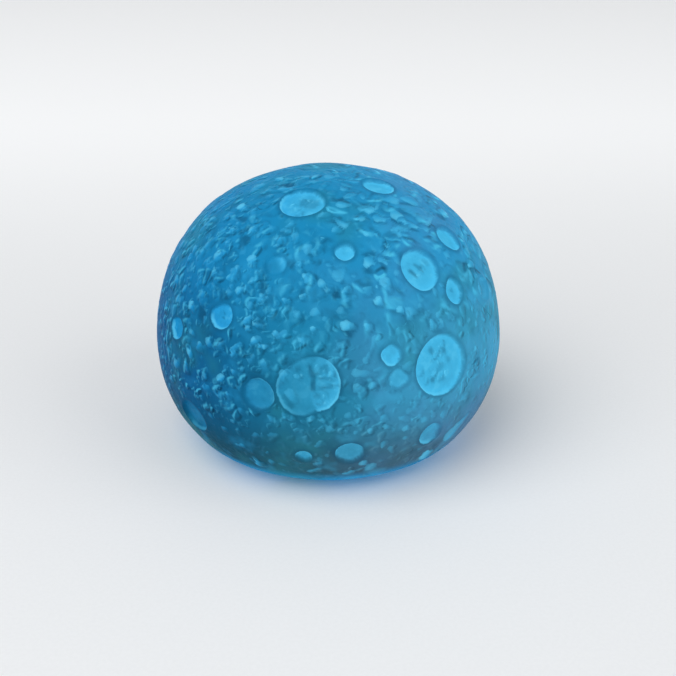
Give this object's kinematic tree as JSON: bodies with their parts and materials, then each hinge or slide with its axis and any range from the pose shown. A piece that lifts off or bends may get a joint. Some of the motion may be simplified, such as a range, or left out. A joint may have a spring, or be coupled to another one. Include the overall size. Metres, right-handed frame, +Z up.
{
  "type": "moon lamp",
  "caption": "Squat moon-shaped night lamp: a soft hollow cratered shade clipped round a battery light module with a slide switch and battery door underneath.",
  "frame": {"origin": "on the floor, under the middle of the lamp, level with the undersides of its foot pads", "axes": "+Z up through the crown; the front that the picture shows faces -Y; the battery door's screw is at +X and the switch at -Y"},
  "size_m": [0.126, 0.126, 0.0998],
  "materials": {
    "shade": "soft translucent vinyl, cratered, lit blue from inside",
    "housing": "moulded, fine matte grain",
    "diffuser": "milky, satin",
    "cover": "moulded, fine spark grain",
    "screw": "nickel plated",
    "foot": "matte",
    "cell": "plain printed sleeve, satin",
    "contact": "nickel plated",
    "spring": "nickel plated wire",
    "board": "solder mask",
    "led": "moulded package with clear window",
    "chip": "moulded epoxy",
    "resistor": "glazed",
    "capacitor": "plain can",
    "switch_can": "plated sheet",
    "switch_base": "laminate",
    "knob": "moulded, ribbed",
    "lead_red": "insulation",
    "lead_black": "insulation"
  },
  "bodies": {
    "lamp": {"moon_shade": "shade", "base_housing": "housing", "diffuser_dome": "diffuser", "base_cover": "cover", "cover_screws": "screw", "board_screws": "screw", "foot_pads": "foot", "battery_1": "cell", "battery_2": "cell", "battery_3": "cell", "contact_positive": "contact", "contact_negative": "contact", "contact_link_left": "contact", "contact_link_right": "contact", "cell_springs": "spring", "led_board": "board", "rgb_leds": "led", "control_chip": "chip", "resistors": "resistor", "capacitor": "capacitor", "switch_can": "switch_can", "switch_base": "switch_base", "lead_positive": "lead_red", "lead_switched": "lead_red", "lead_negative": "lead_black"},
    "door": {"battery_door": "cover", "door_screw": "screw"},
    "knob": {"switch_knob": "knob"}
  },
  "joints": [
    {"name": "switch_slide", "type": "slide", "parent": "lamp", "child": "knob", "axis": [-1, 0, 0], "range_m": [0, 0.003]},
    {"name": "door_release", "type": "slide", "parent": "lamp", "child": "door", "axis": [0, 0, -1], "range_m": [0, 0.02]}
  ]
}
